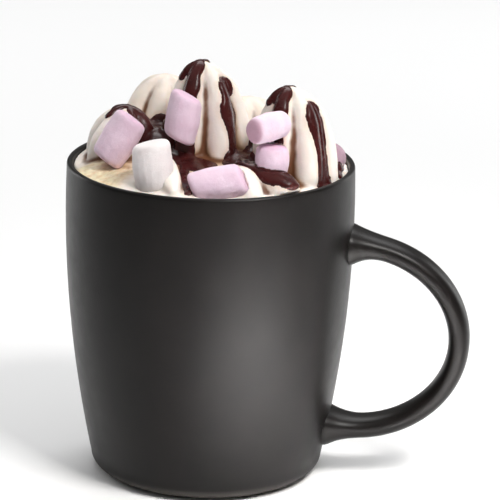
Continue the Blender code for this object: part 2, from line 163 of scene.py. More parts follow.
# Sauce in plan: width, then points
DRIZZLES = (
    (0.0060, ((-0.0052, -0.0012), (-0.0058, -0.0052), (-0.0070, -0.0085), (-0.0078, -0.0115),
               (-0.0080, -0.0150))),
    (0.0024, ((-0.0056, -0.0005), (-0.0090, -0.0022))),
    (0.0060, ((0.0034, -0.0045), (0.0042, -0.0070), (0.0054, -0.0084))),
    (0.0072, ((0.0052, -0.0082), (0.0069, -0.0098), (0.0086, -0.0112), (0.0100, -0.0145))),
    (0.0034, ((-0.0302, 0.0004), (-0.0278, 0.0022), (-0.0245, 0.0025), (-0.0215, 0.0005))),
    (0.0064, ((-0.0222, 0.0010), (-0.0195, -0.0015), (-0.0165, -0.0045), (-0.0135, -0.0080))),
    (0.0080, ((-0.0152, 0.0072), (-0.0150, 0.0010), (-0.0138, -0.0062), (-0.0090, -0.0128),
               (-0.0022, -0.0182))),
    (0.0025, ((-0.0076, -0.0170), (-0.0070, -0.0270), (-0.0058, -0.0368))),
    (0.0060, ((0.0202, -0.0145), (0.0196, -0.0182), (0.0185, -0.0215), (0.0177, -0.0245),
               (0.0165, -0.0275))),
    (0.0024, ((0.0200, -0.0135), (0.0166, -0.0152))),
    (0.0060, ((0.0289, -0.0175), (0.0297, -0.0198))),
    (0.0070, ((0.0298, -0.0197), (0.0317, -0.0208), (0.0330, -0.0214))),
    (0.0030, ((0.0372, -0.0130), (0.0380, -0.0095))),
    (0.0062, ((0.0135, 0.0020), (0.0125, -0.0050), (0.0105, -0.0110))),
    (0.0090, ((0.0085, -0.0150), (0.0115, -0.0215), (0.0165, -0.0285), (0.0225, -0.0318))),
    (0.0045, ((-0.0030, 0.0020), (-0.0010, 0.0100), (0.0015, 0.0170), (0.0030, 0.0220))),
    (0.0045, ((-0.0250, 0.0300), (-0.0190, 0.0325), (-0.0130, 0.0345), (-0.0060, 0.0350))),
    (0.0045, ((0.0040, 0.0365), (0.0110, 0.0345), (0.0180, 0.0320), (0.0255, 0.0280))),
    (0.0038, ((0.0225, -0.0110), (0.0235, -0.0030), (0.0230, 0.0070), (0.0215, 0.0150))),
)

# A run of sauce swells and narrows along its length, and its top is domed over its edge's width
# and levelled over creases
DRIZZLE_STEPS = 10
DRIZZLE_SWELL = 0.10
DRIZZLE_SWELL_RATE = 0.5
DRIZZLE_SWELL_START = 900
SAUCE_EDGE_LUMPS = ((0.00032, 230, 5), (0.00010, 600, 6))
UNDERSIDE_FACING = -0.3
SAUCE_THICKNESS = 0.0006
SAUCE_THICKNESS_LUMPS = (0.30, 140, 8)
SAUCE_EDGE = 0.0009
SAUCE_MARGIN = 0.0007
SAUCE_SINK = 0.0004
SAUCE_UNDERSIDE = 1.5 * SAUCE_SINK
SAUCE_LEVELLING = 200
FILM_DEPTH = 0.0004
FILM_NORMAL_SMOOTHING = 12
POINTS_AT_ONCE = 4000

# Marks for the cream's material. A hollow is marked from a depth, over a range of depths, after
# a number of rounds of smoothing
# The crease and valley marks place painted shade in the cream's hollows
CREASE_ROUNDS, CREASE_FROM, CREASE_OVER = 110, 0.00008, 0.00045
VALLEY_ROUNDS, VALLEY_FROM, VALLEY_OVER = 420, -0.00010, 0.00110
SAUCE_STAIN = 0.0014
# The far mark places painted shade on the cream towards the back
FAR_FROM, FAR_OVER = 0.006, 0.012

# The directions that the marshmallows lie in
MARSHMALLOW_AXES = {
    "marshmallow_white_front": (-0.12, 0.05, 1.0),
    "marshmallow_left": (0.52, 0.16, 0.86),
    "marshmallow_on_peak": (0.17, 0.08, 0.98),
    "marshmallow_front": (0.97, 0.02, 0.22),
    "marshmallow_upper_right": (0.74, 0.66, 0.06),
    "marshmallow_lower_right": (0.04, 0.10, 0.99),
    "marshmallow_right_rim": (0.30, 0.95, 0.05),
    "marshmallow_middle_back": (0.85, 0.40, 0.30),
    "marshmallow_back_left": (0.45, 0.89, 0.10),
    "marshmallow_back": (0.95, -0.20, 0.15),
    "marshmallow_back_right": (0.25, 0.10, 0.95),
}
MARSHMALLOW_VOXEL = 0.00030
MARSHMALLOW_SMOOTHING = 28
MARSHMALLOW_LUMPS = ((0.00022, 160, 0), (0.00006, 700, 1))
SEEDS = 97
CUT_END_FROM, CUT_END_OVER = 0.45, 0.4

# Colours are linear, and a pair is the dark and the light of a mottled surface. Grain is a
# noise's scale and detail, its depth, and at times its roughness
GLAZE = ((0.0045, 0.0038, 0.0035), (0.0070, 0.0058, 0.0053))
GLAZE_ROUGHNESS = (0.34, 0.40)
GLAZE_SPECULAR = 0.19
GLAZE_GRAIN = (1400, 2, 0.00002)
DRY_GLAZE_ROUGHNESS = 0.95
DRY_GLAZE_UP_TO, GLAZE_FULL_FROM = 0.0015, 0.0045
BARE_CLAY = (0.10, 0.09, 0.08)
BARE_CLAY_UP_TO, BARE_CLAY_GONE_FROM = 0.00005, 0.00015
CREAM = ((0.86, 0.785, 0.715), (0.90, 0.83, 0.770))
CREAM_FROTH = ((0.78, 0.61, 0.38), (0.88, 0.76, 0.53))
CREAM_SPECULAR = 0.35
CREAM_GRAIN = (1100, 4, 0.00010)
SAUCE = ((0.036, 0.0068, 0.0066), (0.060, 0.0122, 0.0112))
SAUCE_ROUGHNESS = (0.20, 0.32)
SAUCE_SPECULAR = 0.17
SAUCE_GRAIN = (420, 3, 0.00012)
DRINK = ((0.11, 0.040, 0.020), (0.16, 0.060, 0.030))
PALE_FLOOR = ((0.93, 0.93, 0.93), (0.95, 0.95, 0.95))

# What tints the cream, in turn: mark, strength and colour. The stain is a real tan beside the
# sauce; far, valley and crease are painted shade, darkest in the creases
CREAM_STAIN_AND_SHADE = (
    ("far", 0.6, (0.76, 0.66, 0.57)),
    ("stain", 0.45, (0.66, 0.44, 0.30)),
    ("valley", 0.85, (0.53, 0.34, 0.165)),
    ("crease", 0.95, (0.12, 0.036, 0.010)),
)

# Marshmallows: dark, light and cut ends
MARSHMALLOWS = {
    "pink": ((0.72, 0.53, 0.65), (0.79, 0.62, 0.73), (0.66, 0.44, 0.57)),
    # The mauve kind's cut end is darker as painted shade; its body is paler than the pink
    "mauve_shaded_end": ((0.78, 0.60, 0.72), (0.82, 0.66, 0.76), (0.57, 0.32, 0.42)),
    # This kind, for the marshmallow on the right rim, is darkened all over by a sauce stain and by
    # painted shade
    "stained_and_shaded": ((0.29, 0.17, 0.22), (0.39, 0.25, 0.31), (0.27, 0.15, 0.19)),
    "white": ((0.78, 0.72, 0.72), (0.82, 0.77, 0.77), (0.80, 0.75, 0.74)),
}
SPECIAL = {"marshmallow_upper_right": "mauve_shaded_end", "marshmallow_right_rim": "stained_and_shaded"}
CUT_END_STRENGTH = 0.8
MARSHMALLOW_GRAIN = (1500, 5, 0.00016, 0.7)

# The camera: what it is aimed at and how it stands off, in the layout's own directions
CAMERA_TARGET = (0.01204, 0.0, 0.06770)
CAMERA_DISTANCE = 0.900
CAMERA_ELEVATION = math.radians(16.63)
CAMERA_ROLL = math.radians(1.279)
CAMERA_LENS = 217.5
CAMERA_SENSOR = 36.0
CAMERA_NEAREST = 0.01

# Softboxes: name, place, aim, width, height, watts, colour and spread in degrees
NEUTRAL = (1.0, 1.0, 1.0)
MIDDLE = (0.0, 0.0, 0.07)
SOFTBOXES = (
    ("key", (0.30, -0.36, 0.60), (0.12, -0.15, 0.0), 0.25, 0.25, 0.94, (1.0, 0.98, 0.96), 60),
    ("pool", (0.10, -0.18, 0.60), (0.078, -0.122, 0.0), 0.05, 0.05, 0.50, (1.0, 0.97, 0.96), 20),
    ("back", (0.10, 0.75, 1.00), (0.0, 0.25, 0.0), 1.0, 0.6, 7.5, NEUTRAL, 180),
    ("left_strip", (-0.65, 0.55, 0.20), MIDDLE, 0.20, 0.5, 1.5, NEUTRAL, 180),
    ("right_strip", (0.60, 0.60, 0.20), MIDDLE, 0.20, 0.5, 1.0, NEUTRAL, 180),
)
OVERHEAD_STRENGTH = 0.95
OVERHEAD_ANGLE = math.radians(100)
STUDIO_STRENGTH = 0.10
FLOOR_REACH = 4
FLOOR_DROP = 0.0001

layout = Matrix.Translation((AXIS_X, 0.0, 0.0)) @ Matrix.Rotation(TOPPING_TURN, 4, "Z")


# Meshes

def mesh_object(name, points, faces):
    mesh = bpy.data.meshes.new(name)
    mesh.from_pydata([tuple(p) for p in points], [], [tuple(int(i) for i in f) for f in faces])
    mesh.update()
    obj = bpy.data.objects.new(name, mesh)
    bpy.context.scene.collection.objects.link(obj)
    return obj


def points_of(obj):
    points = np.empty(len(obj.data.vertices) * 3)
    obj.data.vertices.foreach_get("co", points)
    return points.reshape(-1, 3)


def normals_of(obj):
    normals = np.empty(len(obj.data.vertices) * 3)
    obj.data.vertices.foreach_get("normal", normals)
    return normals.reshape(-1, 3)


def set_points(obj, points):
    obj.data.vertices.foreach_set("co", np.ascontiguousarray(points, dtype=np.float32).ravel())
    obj.data.update()


def faces_of(obj):
    return [tuple(face.vertices) for face in obj.data.polygons]


def edges_around(face):
    return zip(face, face[1:] + face[:1])


def bake(obj):
    """Replaces the object's mesh with the result of its modifiers."""
    graph = bpy.context.evaluated_depsgraph_get()
    mesh = bpy.data.meshes.new_from_object(obj.evaluated_get(graph), depsgraph=graph)
    obj.modifiers.clear()
    obj.data = mesh


def add_smoothing(obj, factor, rounds):
    relax = obj.modifiers.new("Relax", "SMOOTH")
    relax.factor = factor
    relax.iterations = rounds


def remesh(obj, voxel, smooth_rounds):
    """Makes one even skin of the object and relaxes it."""
    skin = obj.modifiers.new("Skin", "REMESH")
    skin.mode = "VOXEL"
    skin.voxel_size = voxel
    skin.adaptivity = 0.0
    add_smoothing(obj, 0.5, smooth_rounds)
    bake(obj)


def mark(obj, name, values):
    """Stores one number at each point for a material to read."""
    layer = obj.data.attributes.new(name, "FLOAT", "POINT")
    layer.data.foreach_set("value", np.ascontiguousarray(values, dtype=np.float32))


def shade(obj, sharp_degrees=180):
    obj.data.shade_smooth()
    if sharp_degrees < 180:
        obj.data.set_sharp_from_angle(angle=math.radians(sharp_degrees))


def rising(values, start, over):
    """From 0 at the start to 1 once a value is that far over it."""
    return np.clip((values - start) / over, 0, 1)


def averaged(values, pairs, rounds):
    """Averages values with those of joined points, a number of times."""
    count = len(values)
    links = np.bincount(pairs.ravel(), minlength=count)
    links = np.maximum(links, 1)
    for _ in range(rounds):
        total = np.zeros_like(values)
        for axis in range(values.shape[1]):
            for here, there in ((0, 1), (1, 0)):
                weights = values[pairs[:, there], axis]
                total[:, axis] += np.bincount(pairs[:, here], weights=weights, minlength=count)
        values = 0.5 * values + 0.5 * total / links[:, None]
    return values


def smoothed_points(obj, rounds):
    """The object's points, the same points once smoothed, and how deep each lies in a crease.
    The depth is negative on ridges."""
    pairs = np.empty(len(obj.data.edges) * 2, dtype=np.int32)
    obj.data.edges.foreach_get("vertices", pairs)
    points = points_of(obj)
    smoothed = averaged(points, pairs.reshape(-1, 2), rounds)
    return points, smoothed, ((smoothed - points) * normals_of(obj)).sum(axis=1)


def wobble(points, layer, seed=0):
    """Smooth noise at each point, from one layer of (size, waves to a metre, seed)."""
    size, scale, own_seed = layer
    seed += own_seed
    shift = Vector((seed * 7.1, seed * 3.7, seed * 5.3))
    return size * np.array([noise.noise(Vector(p) * scale + shift) for p in points])


# Closed shapes as points and faces

def arc(centre, half_width, half_height, start_degrees, end_degrees, steps):
    """Points of an ellipse's arc as (radius, height)."""
    angles = np.radians(np.linspace(start_degrees, end_degrees, steps + 1))
    across = centre[0] + half_width * np.cos(angles)
    return list(zip(across, centre[1] + half_height * np.sin(angles)))


def revolve(profile, steps):
    """Points and faces of a profile turned about Z. The profile starts and ends on the axis."""
    inner = profile[1:-1]
    angles = 2 * math.pi * np.arange(steps) / steps
    points = [(0.0, 0.0, profile[0][1])]
    for radius, height in inner:
        points += [(radius * math.cos(a), radius * math.sin(a), height) for a in angles]
    points.append((0.0, 0.0, profile[-1][1]))
    last = len(points) - 1
    faces = []
    for i in range(steps):
        j = (i + 1) % steps
        faces.append((0, 1 + i, 1 + j))
        for ring in range(len(inner) - 1):
            a = 1 + ring * steps
            faces.append((a + i, a + steps + i, a + steps + j, a + j))
        a = 1 + (len(inner) - 1) * steps
        faces.append((last, a + j, a + i))
    return np.array(points), faces


def loft(rings):
    """Points and faces of closed rings joined in turn, with a fan over each end."""
    steps = len(rings[0])
    middles = [[np.mean(rings[0], axis=0)], [np.mean(rings[-1], axis=0)]]
    points = np.concatenate(list(rings) + middles)
    first, last = len(points) - 2, len(points) - 1
    faces = []
    for i in range(steps):
        j = (i + 1) % steps
        faces.append((first, j, i))
        for ring in range(len(rings) - 1):
            a = ring * steps
            faces.append((a + i, a + j, a + steps + j, a + steps + i))
        a = (len(rings) - 1) * steps
        faces.append((last, a + i, a + j))
    return points, faces


def joined(name, shapes):
    """One object of several (points, faces)."""
    points, faces, start = [], [], 0
    for shape_points, shape_faces in shapes:
        points.append(shape_points)
        faces += [tuple(i + start for i in face) for face in shape_faces]
        start += len(shape_points)
    return mesh_object(name, np.concatenate(points), faces)


# The mug and the drink

def outer_radius(height):
    return BELLY_RADIUS - SIDE_CURVE * (BELLY_AT - height / MUG_HEIGHT) ** 2


def inner_radius(height):
    below_lip = np.clip((MUG_HEIGHT - height) / WALL_FULL_BELOW_LIP, 0.0, 1.0)
    return outer_radius(height) - LIP_THICKNESS - (WALL - LIP_THICKNESS) * below_lip


def mug_profile():
    """From the foot's middle out, up the outside, over the lip, and down inside to the floor."""
    ring_inside = FOOT_RADIUS - FOOT_RING_WIDTH
    under = [(0.0, FOOT_RECESS), (ring_inside - 2 * FOOT_RECESS, FOOT_RECESS)]
    recess_centre = (ring_inside - FOOT_RECESS, 0.4 * FOOT_RECESS)
    under += arc(recess_centre, FOOT_RECESS, 0.6 * FOOT_RECESS, 90, 0, 4)
    under += [(ring_inside + FOOT_RING_EASE, 0.0), (FOOT_RADIUS - FOOT_RING_EASE, 0.0)]
    round_width = outer_radius(FOOT_ROUND_HEIGHT) - FOOT_RADIUS
    foot = arc((FOOT_RADIUS, FOOT_ROUND_HEIGHT), round_width, FOOT_ROUND_HEIGHT, -90, 0, 12)
    lip_half = LIP_THICKNESS / 2
    lip_height = MUG_HEIGHT - lip_half
    outside_heights = np.linspace(FOOT_ROUND_HEIGHT, lip_height, 60)[1:-1]
    outside = [(outer_radius(height), height) for height in outside_heights]
    lip = arc((outer_radius(lip_height) - lip_half, lip_height), lip_half, lip_half, 0, 180, 10)
    inside_heights = np.linspace(lip_height, FLOOR + FLOOR_ROUND, 24)[1:-1]
    inside = [(inner_radius(height), height) for height in inside_heights]
    floor_centre = (inner_radius(FLOOR + FLOOR_ROUND) - FLOOR_ROUND, FLOOR + FLOOR_ROUND)
    floor = arc(floor_centre, FLOOR_ROUND, FLOOR_ROUND, 0, -90, 8)
    return under + foot + outside + lip + inside + floor + [(0.0, FLOOR)]


def loop_line():
    """The handle's centre line, from wall to wall, as evenly spaced (distance from the mug's
    axis, height), with the length run at each."""
    centre = (LOOP_CENTRE_RADIUS, LOOP_CENTRE_HEIGHT)
    loop = arc(centre, LOOP_HALF_REACH, LOOP_HALF_HEIGHT, 90, -90, 160)
    top = LOOP_CENTRE_HEIGHT + LOOP_HALF_HEIGHT
    bottom = LOOP_CENTRE_HEIGHT - LOOP_HALF_HEIGHT
    start, end = ((outer_radius(height) - ROOT_SINK, height) for height in (top, bottom))
    line = np.array([start] + loop + [end])
    steps = np.linalg.norm(np.diff(line, axis=0), axis=1)
    lengths = np.concatenate([[0.0], np.cumsum(steps)])
    even = np.linspace(0.0, lengths[-1], STRAP_RINGS)
    return np.stack([np.interp(even, lengths, line[:, i]) for i in (0, 1)], axis=1), even


def handle_shape():
    """A loft of rounded sections round the loop that widens softly into the wall at each root."""
    line, lengths = loop_line()
    tangents = np.gradient(line, axis=0)
    tangents /= np.linalg.norm(tangents, axis=1)[:, None]
    angles = 2 * math.pi * np.arange(STRAP_STEPS) / STRAP_STEPS
    power = 2 / STRAP_SQUARENESS
    across = np.sign(np.cos(angles)) * np.abs(np.cos(angles)) ** power
    along = np.sign(np.sin(angles)) * np.abs(np.sin(angles)) ** power
    rings = []
    for (radius, height), (run, rise), length in zip(line, tangents, lengths):
        from_wall = max(0.0, min(length, lengths[-1] - length) - ROOT_SINK)
        flare = ROOT_FLARE * max(0.0, 1 - from_wall / ROOT_FLARE_LENGTH) ** ROOT_FLARE_POWER
        out = (STRAP_THICKNESS / 2 + flare) * across
        side = (STRAP_WIDTH / 2 + flare) * along
        rings.append(np.stack([radius - rise * out, side, height + run * out], axis=1))
    return loft(rings)


def mug():
    body = mesh_object("mug_glazed", *revolve(mug_profile(), MUG_STEPS))
    handle = mesh_object("handle", *handle_shape())
    for obj in (body, handle):
        fix = obj.modifiers.new("Fix", "WELD")
        fix.merge_threshold = SAME_POINT
        bake(obj)
    join = body.modifiers.new("Join", "BOOLEAN")
    join.operation = "UNION"
    join.object = handle
    bake(body)
    bpy.data.objects.remove(handle)
    body.data.transform(Matrix.Translation((AXIS_X, 0.0, 0.0)))
    shade(body, 50)
    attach(body, "root")
    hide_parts("cup")
    return body


def drink():
    """The hot chocolate under the cream, which fills the mug and has a slightly wrinkled skin."""
    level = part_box("drink")[1][2]
    low = FLOOR + DRINK_GAP
    top_radius = inner_radius(level) - DRINK_GAP
    round_centre = (inner_radius(FLOOR + FLOOR_ROUND) - DRINK_GAP - FLOOR_ROUND, low + FLOOR_ROUND)
    heights = np.linspace(low + FLOOR_ROUND, level, 40)[1:]
    profile = [(0.0, low)]
    profile += arc(round_centre, FLOOR_ROUND, FLOOR_ROUND, -90, 0, 10)
    profile += [(inner_radius(height) - DRINK_GAP, height) for height in heights]
    profile += [(share * top_radius, level) for share in np.linspace(1, 0, 40)[1:]]
    points, faces = revolve(profile, DRINK_STEPS)
    out = np.hypot(points[:, 0], points[:, 1])
    skin = (points[:, 2] > level - SAME_POINT) & (out < top_radius - DRINK_GAP)
    points[skin, 2] -= DRINK_WRINKLES[0] + wobble(points[skin], DRINK_WRINKLES)
    piece = mesh_object("drink_poured", points + np.array([AXIS_X, 0.0, 0.0]), faces)
    shade(piece, 60)
    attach(piece, "root")
    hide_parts("drink")
    return piece


# The cream

def bed_shape():
    """The layer of cream on the drink, crowned and gently uneven."""
    edge = inner_radius(CREAM_EDGE_LEVEL) - CREAM_GAP
    profile = [(0.0, CREAM_EDGE_LEVEL + CREAM_CROWN)]
    for share in np.linspace(0.03, 1.0, 40):
        profile.append((share * edge, CREAM_EDGE_LEVEL + CREAM_CROWN * (1 - share**2)))
    profile += [(edge, CREAM_EDGE_LEVEL - BED_EDGE_DROP)]
    profile += [(edge, CREAM_UNDERSIDE), (0.0, CREAM_UNDERSIDE)]
    points, faces = revolve(profile, MUG_STEPS)
    top = points[:, 2] > CREAM_EDGE_LEVEL - 0.5 * BED_EDGE_DROP
    waves = BED_WAVE_HEIGHT * np.sin(BED_WAVES_ALONG[0] * points[:, 0] + BED_WAVES_ALONG[1])
    waves *= np.cos(BED_WAVES_ACROSS[0] * points[:, 1] + BED_WAVES_ACROSS[1])
    points[top, 2] += waves[top]
    return points, [face[::-1] for face in faces]


def swirl_shape(x, y, height, radius, crease_degrees, lean):
    """One piped swirl: a blunt dome whose flutes meet in creases and turn as they rise."""
    foot = CREAM_EDGE_LEVEL - SWIRL_SINK
    rise = MUG_HEIGHT + height - foot
    shares = np.cos(0.5 * math.pi * np.linspace(0, 1, SWIRL_RINGS)[1:])
    profile = [(0.0, rise)]
    profile += [(radius * math.sqrt(1 - share**SWIRL_BLUNT), rise * share) for share in shares]
    profile.append((0.0, 0.0))
    points, faces = revolve(profile, SWIRL_STEPS)
    out = np.hypot(points[:, 0], points[:, 1])
    angle = np.arctan2(points[:, 1], points[:, 0])
    share = points[:, 2] / rise
    lobe = np.abs(np.sin(0.5 * SWIRL_LOBES * angle))
    out *= 1 - SWIRL_CREASE * (1 - lobe)
    turn = angle + math.radians(crease_degrees) + SWIRL_TURN * (share - SWIRL_TURN_FROM)
    points[:, 0] = x + out * np.cos(turn) + lean * share**3
    points[:, 1] = y + out * np.sin(turn)
    points[:, 2] += foot
    return points, [face[::-1] for face in faces]


def fold_shape(start, end, radius):
    """A soft roll of cream between two points, full in the middle and drawn in at its ends."""
    start, end = np.array(start), np.array(end)
    along = (end - start) / np.linalg.norm(end - start)
    start, end = start - FOLD_OVERRUN * radius * along, end + FOLD_OVERRUN * radius * along
    side = np.cross(along, (0.0, 0.0, 1.0))
    side /= np.linalg.norm(side)
    up = np.cross(side, along)
    angles = 2 * math.pi * np.arange(FOLD_STEPS) / FOLD_STEPS
    section = np.outer(np.cos(angles), side) + np.outer(np.sin(angles), up)
    rings = []
    for share in np.linspace(0.01, 0.99, FOLD_RINGS):
        full = math.sin(math.pi * share) ** FOLD_FULLNESS
        size = radius * (FOLD_END_SHARE + (1 - FOLD_END_SHARE) * full)
        rings.append(start + (end - start) * share + size * section)
    return loft(rings)


def cream(marshmallows):
    """The heap of cream in one skin, uneven as piped, kept in the mug, dented by marshmallows."""
    shapes = [bed_shape()]
    shapes += [swirl_shape(*row) for row in SWIRLS]
    shapes += [fold_shape(*row) for row in FOLDS]
    heap = joined("cream_piped", shapes)
    remesh(heap, CREAM_VOXEL, CREAM_SMOOTHING)
    soften_hollows(heap)
    points, normals = points_of(heap), normals_of(heap)
    points += normals * sum(wobble(points, layer) for layer in CREAM_LUMPS)[:, None]
    dimples = np.clip(DIMPLE_WIDTH - np.abs(wobble(points, DIMPLES)), 0, 1)
    points[:, 2] -= DIMPLE_DEPTH * froth_share(points) * dimples / DIMPLE_WIDTH
    points = press(points, normals, marshmallows)
    points = keep_in_mug(points)
    set_points(heap, points)
    add_smoothing(heap, 0.4, 1)
    bake(heap)
    return heap


def froth_share(points):
    """How far each point belongs to the froth, which has an uneven edge and lies low."""
    x, y, radius = FROTH
    away = np.hypot(points[:, 0] - x, points[:, 1] - y) / radius + wobble(points, FROTH_EDGE)
    low = np.clip((CREAM_EDGE_LEVEL + CREAM_CROWN - points[:, 2]) / FROTH_TOP_FADE, 0, 1)
    return np.clip((FROTH_REACH - away) / FROTH_FADE, 0, 1) * low


def soften_hollows(heap):
    """Fills the sharp bottoms of creases and of joints between swirls, and leaves the ridges."""
    points, smoothed, depth = smoothed_points(heap, HOLLOW_SMOOTHING)
    weight = HOLLOW_FILL * rising(depth, 0, HOLLOW_DEPTH)
    set_points(heap, points + weight[:, None] * (smoothed - points))


def keep_in_mug(points):
    """Draws points that reach the wall back from it, and lets those over the lip lean out."""
    radius = np.hypot(points[:, 0], points[:, 1])
    height = np.minimum(points[:, 2], MUG_HEIGHT)
    limit = inner_radius(height) - CREAM_GAP
    limit = np.where(points[:, 2] > MUG_HEIGHT + OVER_LIP, limit + OVER_LIP_REACH, limit)
    shrink = np.where(radius > limit, limit / np.maximum(radius, SAME_POINT), 1.0)
    points = points.copy()
    points[:, :2] *= shrink[:, None]
    return points


def press(points, normals, marshmallows):
    """Pushes points that lie inside a marshmallow out to its skin, and never over its top."""
    points = points.copy()
    for tree, low, high in marshmallows:
        near = np.all((points > low) & (points < high), axis=1)
        for i in np.nonzero(near)[0]:
            inside = Vector(points[i])
            place, normal, _, _ = tree.find_nearest(inside)
            depth = (inside - place).dot(normal)
            if depth >= DENT_GAP:
                continue
            if normal.z > DENT_TOP_FACING and depth < 0:
                under, under_normal, _, _ = tree.ray_cast(inside, -Vector(normals[i]))
                if under is not None:
                    place, normal = under, under_normal
            points[i] = place + normal * DENT_GAP
    return points


def tint_cream(heap, inside):
    """Marks where the cream lies in a crease, in a valley and far back, which take painted shade,
    and where it lies beside the sauce and where it is froth.
    """
    points = points_of(heap)
    crease = smoothed_points(heap, CREASE_ROUNDS)[2]
    valley = smoothed_points(heap, VALLEY_ROUNDS)[2]
    # Painted shade in creases and valleys
    mark(heap, "crease", rising(crease, CREASE_FROM, CREASE_OVER))
    mark(heap, "valley", rising(valley, VALLEY_FROM, VALLEY_OVER))
    mark(heap, "stain", rising(inside, -SAUCE_STAIN, SAUCE_STAIN))
    # Painted shade on the cream towards the back
    mark(heap, "far", rising(points[:, 1], FAR_FROM, FAR_OVER))
    mark(heap, "froth", froth_share(points))


# The sauce

def smooth_path(points):
    """Points along a Catmull-Rom curve through the given ones."""
    ends = np.array([points[0], *points, points[-1]])
    path = []
    for a, b, c, d in zip(ends, ends[1:], ends[2:], ends[3:]):
        for t in np.arange(DRIZZLE_STEPS) / DRIZZLE_STEPS:
            path.append(0.5 * (2 * b + (c - a) * t + (2 * a - 5 * b + 4 * c - d) * t**2
                               + (3 * b - a - 3 * c + d) * t**3))
    path.append(ends[-1])
    return np.array(path)


def dropped(tree, points):
    """The points of a plan path let down on the cream's surface."""
    path = []
    for x, y in smooth_path(points):
        place = tree.ray_cast(Vector((x, y, 2 * MUG_HEIGHT)), Vector((0.0, 0.0, -1.0)))[0]
        if place is not None:
            path.append(place)
    return np.array(path)


def inside_drizzle(points, path, width):
    """How far each point lies inside the edge of one run of sauce, negative outside."""
    starts, steps = path[:-1], np.diff(path, axis=0)
    squares = np.maximum((steps**2).sum(-1), SAME_POINT**2)
    low, high = path.min(axis=0) - width, path.max(axis=0) + width
    near = np.nonzero(np.all((points > low) & (points < high), axis=1))[0]
    inside = np.full(len(points), -1.0)
    for some in np.array_split(near, 1 + len(near) // POINTS_AT_ONCE):
        offset = points[some][:, None, :] - starts[None]
        share = np.clip((offset * steps).sum(-1) / squares, 0, 1)
        away = np.linalg.norm(offset - share[..., None] * steps, axis=-1)
        nearest = away.argmin(axis=1)
        run = nearest + share[np.arange(len(some)), nearest]
        swell = np.sin(DRIZZLE_SWELL_RATE * run + DRIZZLE_SWELL_START * width)
        inside[some] = width / 2 * (1 + DRIZZLE_SWELL * swell) - away.min(axis=1)
    return inside


def sauce_reach(heap):
    """How far each point of the cream lies inside the sauce's uneven edge."""
    points, normals = points_of(heap), normals_of(heap)
    tree = BVHTree.FromPolygons([Vector(p) for p in points], faces_of(heap))
    inside = np.full(len(points), -1.0)
    for width, plan in DRIZZLES:
        inside = np.maximum(inside, inside_drizzle(points, dropped(tree, plan), width))
    inside += sum(wobble(points, layer) for layer in SAUCE_EDGE_LUMPS)
    inside[normals[:, 2] < UNDERSIDE_FACING] = -1.0
    return inside


def pooled(points, normals, faces, fixed):
    """Lets sauce fill the creases under it, as a film that is held at its edge and counts
    wherever it lies above the cream. Gives its points and the directions it faces in."""
    pairs = np.array([pair for face in faces for pair in edges_around(face)])
    pairs = np.unique(np.sort(pairs, axis=1), axis=0)
    film = points
    for _ in range(SAUCE_LEVELLING):
        film = np.where(fixed[:, None], points, averaged(film, pairs, 1))
    share = rising(((film - points) * normals).sum(axis=1), 0, FILM_DEPTH)
    out = averaged(normals, pairs, FILM_NORMAL_SMOOTHING)
    out /= np.maximum(np.linalg.norm(out, axis=1), SAME_POINT)[:, None]
    return points + share[:, None] * (film - points), out


def sauce(heap, inside):
    """Sauce as a thick skin over the cream, with rounded edges that dip under its surface."""
    points, normals = points_of(heap), normals_of(heap)
    kept = inside > -SAUCE_MARGIN
    faces = [face for face in faces_of(heap) if all(kept[i] for i in face)]
    used = np.unique([i for face in faces for i in face])
    index = np.full(len(points), -1)
    index[used] = np.arange(len(used))
    faces = [tuple(int(index[i]) for i in face) for face in faces]
    points, normals, inside = points[used], normals[used], inside[used]

    share = np.clip(inside / SAUCE_EDGE, 0, 1)
    thick = SAUCE_THICKNESS * np.sqrt(share * (2 - share))
    thick *= 1 + wobble(points, SAUCE_THICKNESS_LUMPS)
    thick = np.where(inside < 0, inside * SAUCE_SINK / SAUCE_MARGIN, thick)
    level, out = pooled(points, normals, faces, inside < 0.5 * SAUCE_EDGE)
    top = level + out * thick[:, None]
    under = points - normals * SAUCE_UNDERSIDE

    count = len(used)
    edges = dict.fromkeys(edge for face in faces for edge in edges_around(face))
    sides = [(b, a, a + count, b + count) for a, b in edges if (b, a) not in edges]
    back = [tuple(i + count for i in face[::-1]) for face in faces]
    return mesh_object("sauce_thick", np.concatenate([top, under]), faces + back + sides)


# The marshmallows

def soft_marshmallow(node):
    """A finer, softer copy of one marshmallow's solid, a little lumpy, with marked cut ends."""
    source = frame["nodes"][node]
    obj = bpy.data.objects.new(node + "_soft", source.data.copy())
    bpy.context.scene.collection.objects.link(obj)
    remesh(obj, MARSHMALLOW_VOXEL, MARSHMALLOW_SMOOTHING)
    points, normals = points_of(obj), normals_of(obj)
    seed = sum(ord(letter) for letter in node) % SEEDS
    lift = sum(wobble(points, layer, seed) for layer in MARSHMALLOW_LUMPS)
    axis = layout.to_3x3() @ Vector(MARSHMALLOW_AXES[node]).normalized()
    facing = np.abs(normals @ np.array(axis))
    set_points(obj, points + normals * lift[:, None])
    mark(obj, "cut_end", rising(facing, CUT_END_FROM, CUT_END_OVER))
    shade(obj)
    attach(obj, "root")
    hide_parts(node)
    return obj


def tree_of(obj, clearance=0.001):
    """A search tree of the object in the layout's directions, with the corners of its box."""
    into_layout = layout.inverted()
    points = [into_layout @ vertex.co for vertex in obj.data.vertices]
    tree = BVHTree.FromPolygons(points, faces_of(obj))
    array = np.array(points)
    return tree, array.min(axis=0) - clearance, array.max(axis=0) + clearance


# Materials

def new_material(name):
    made = bpy.data.materials.new(name)
    made.use_nodes = True
    tree = made.node_tree
    return made, tree, tree.nodes["Principled BSDF"]


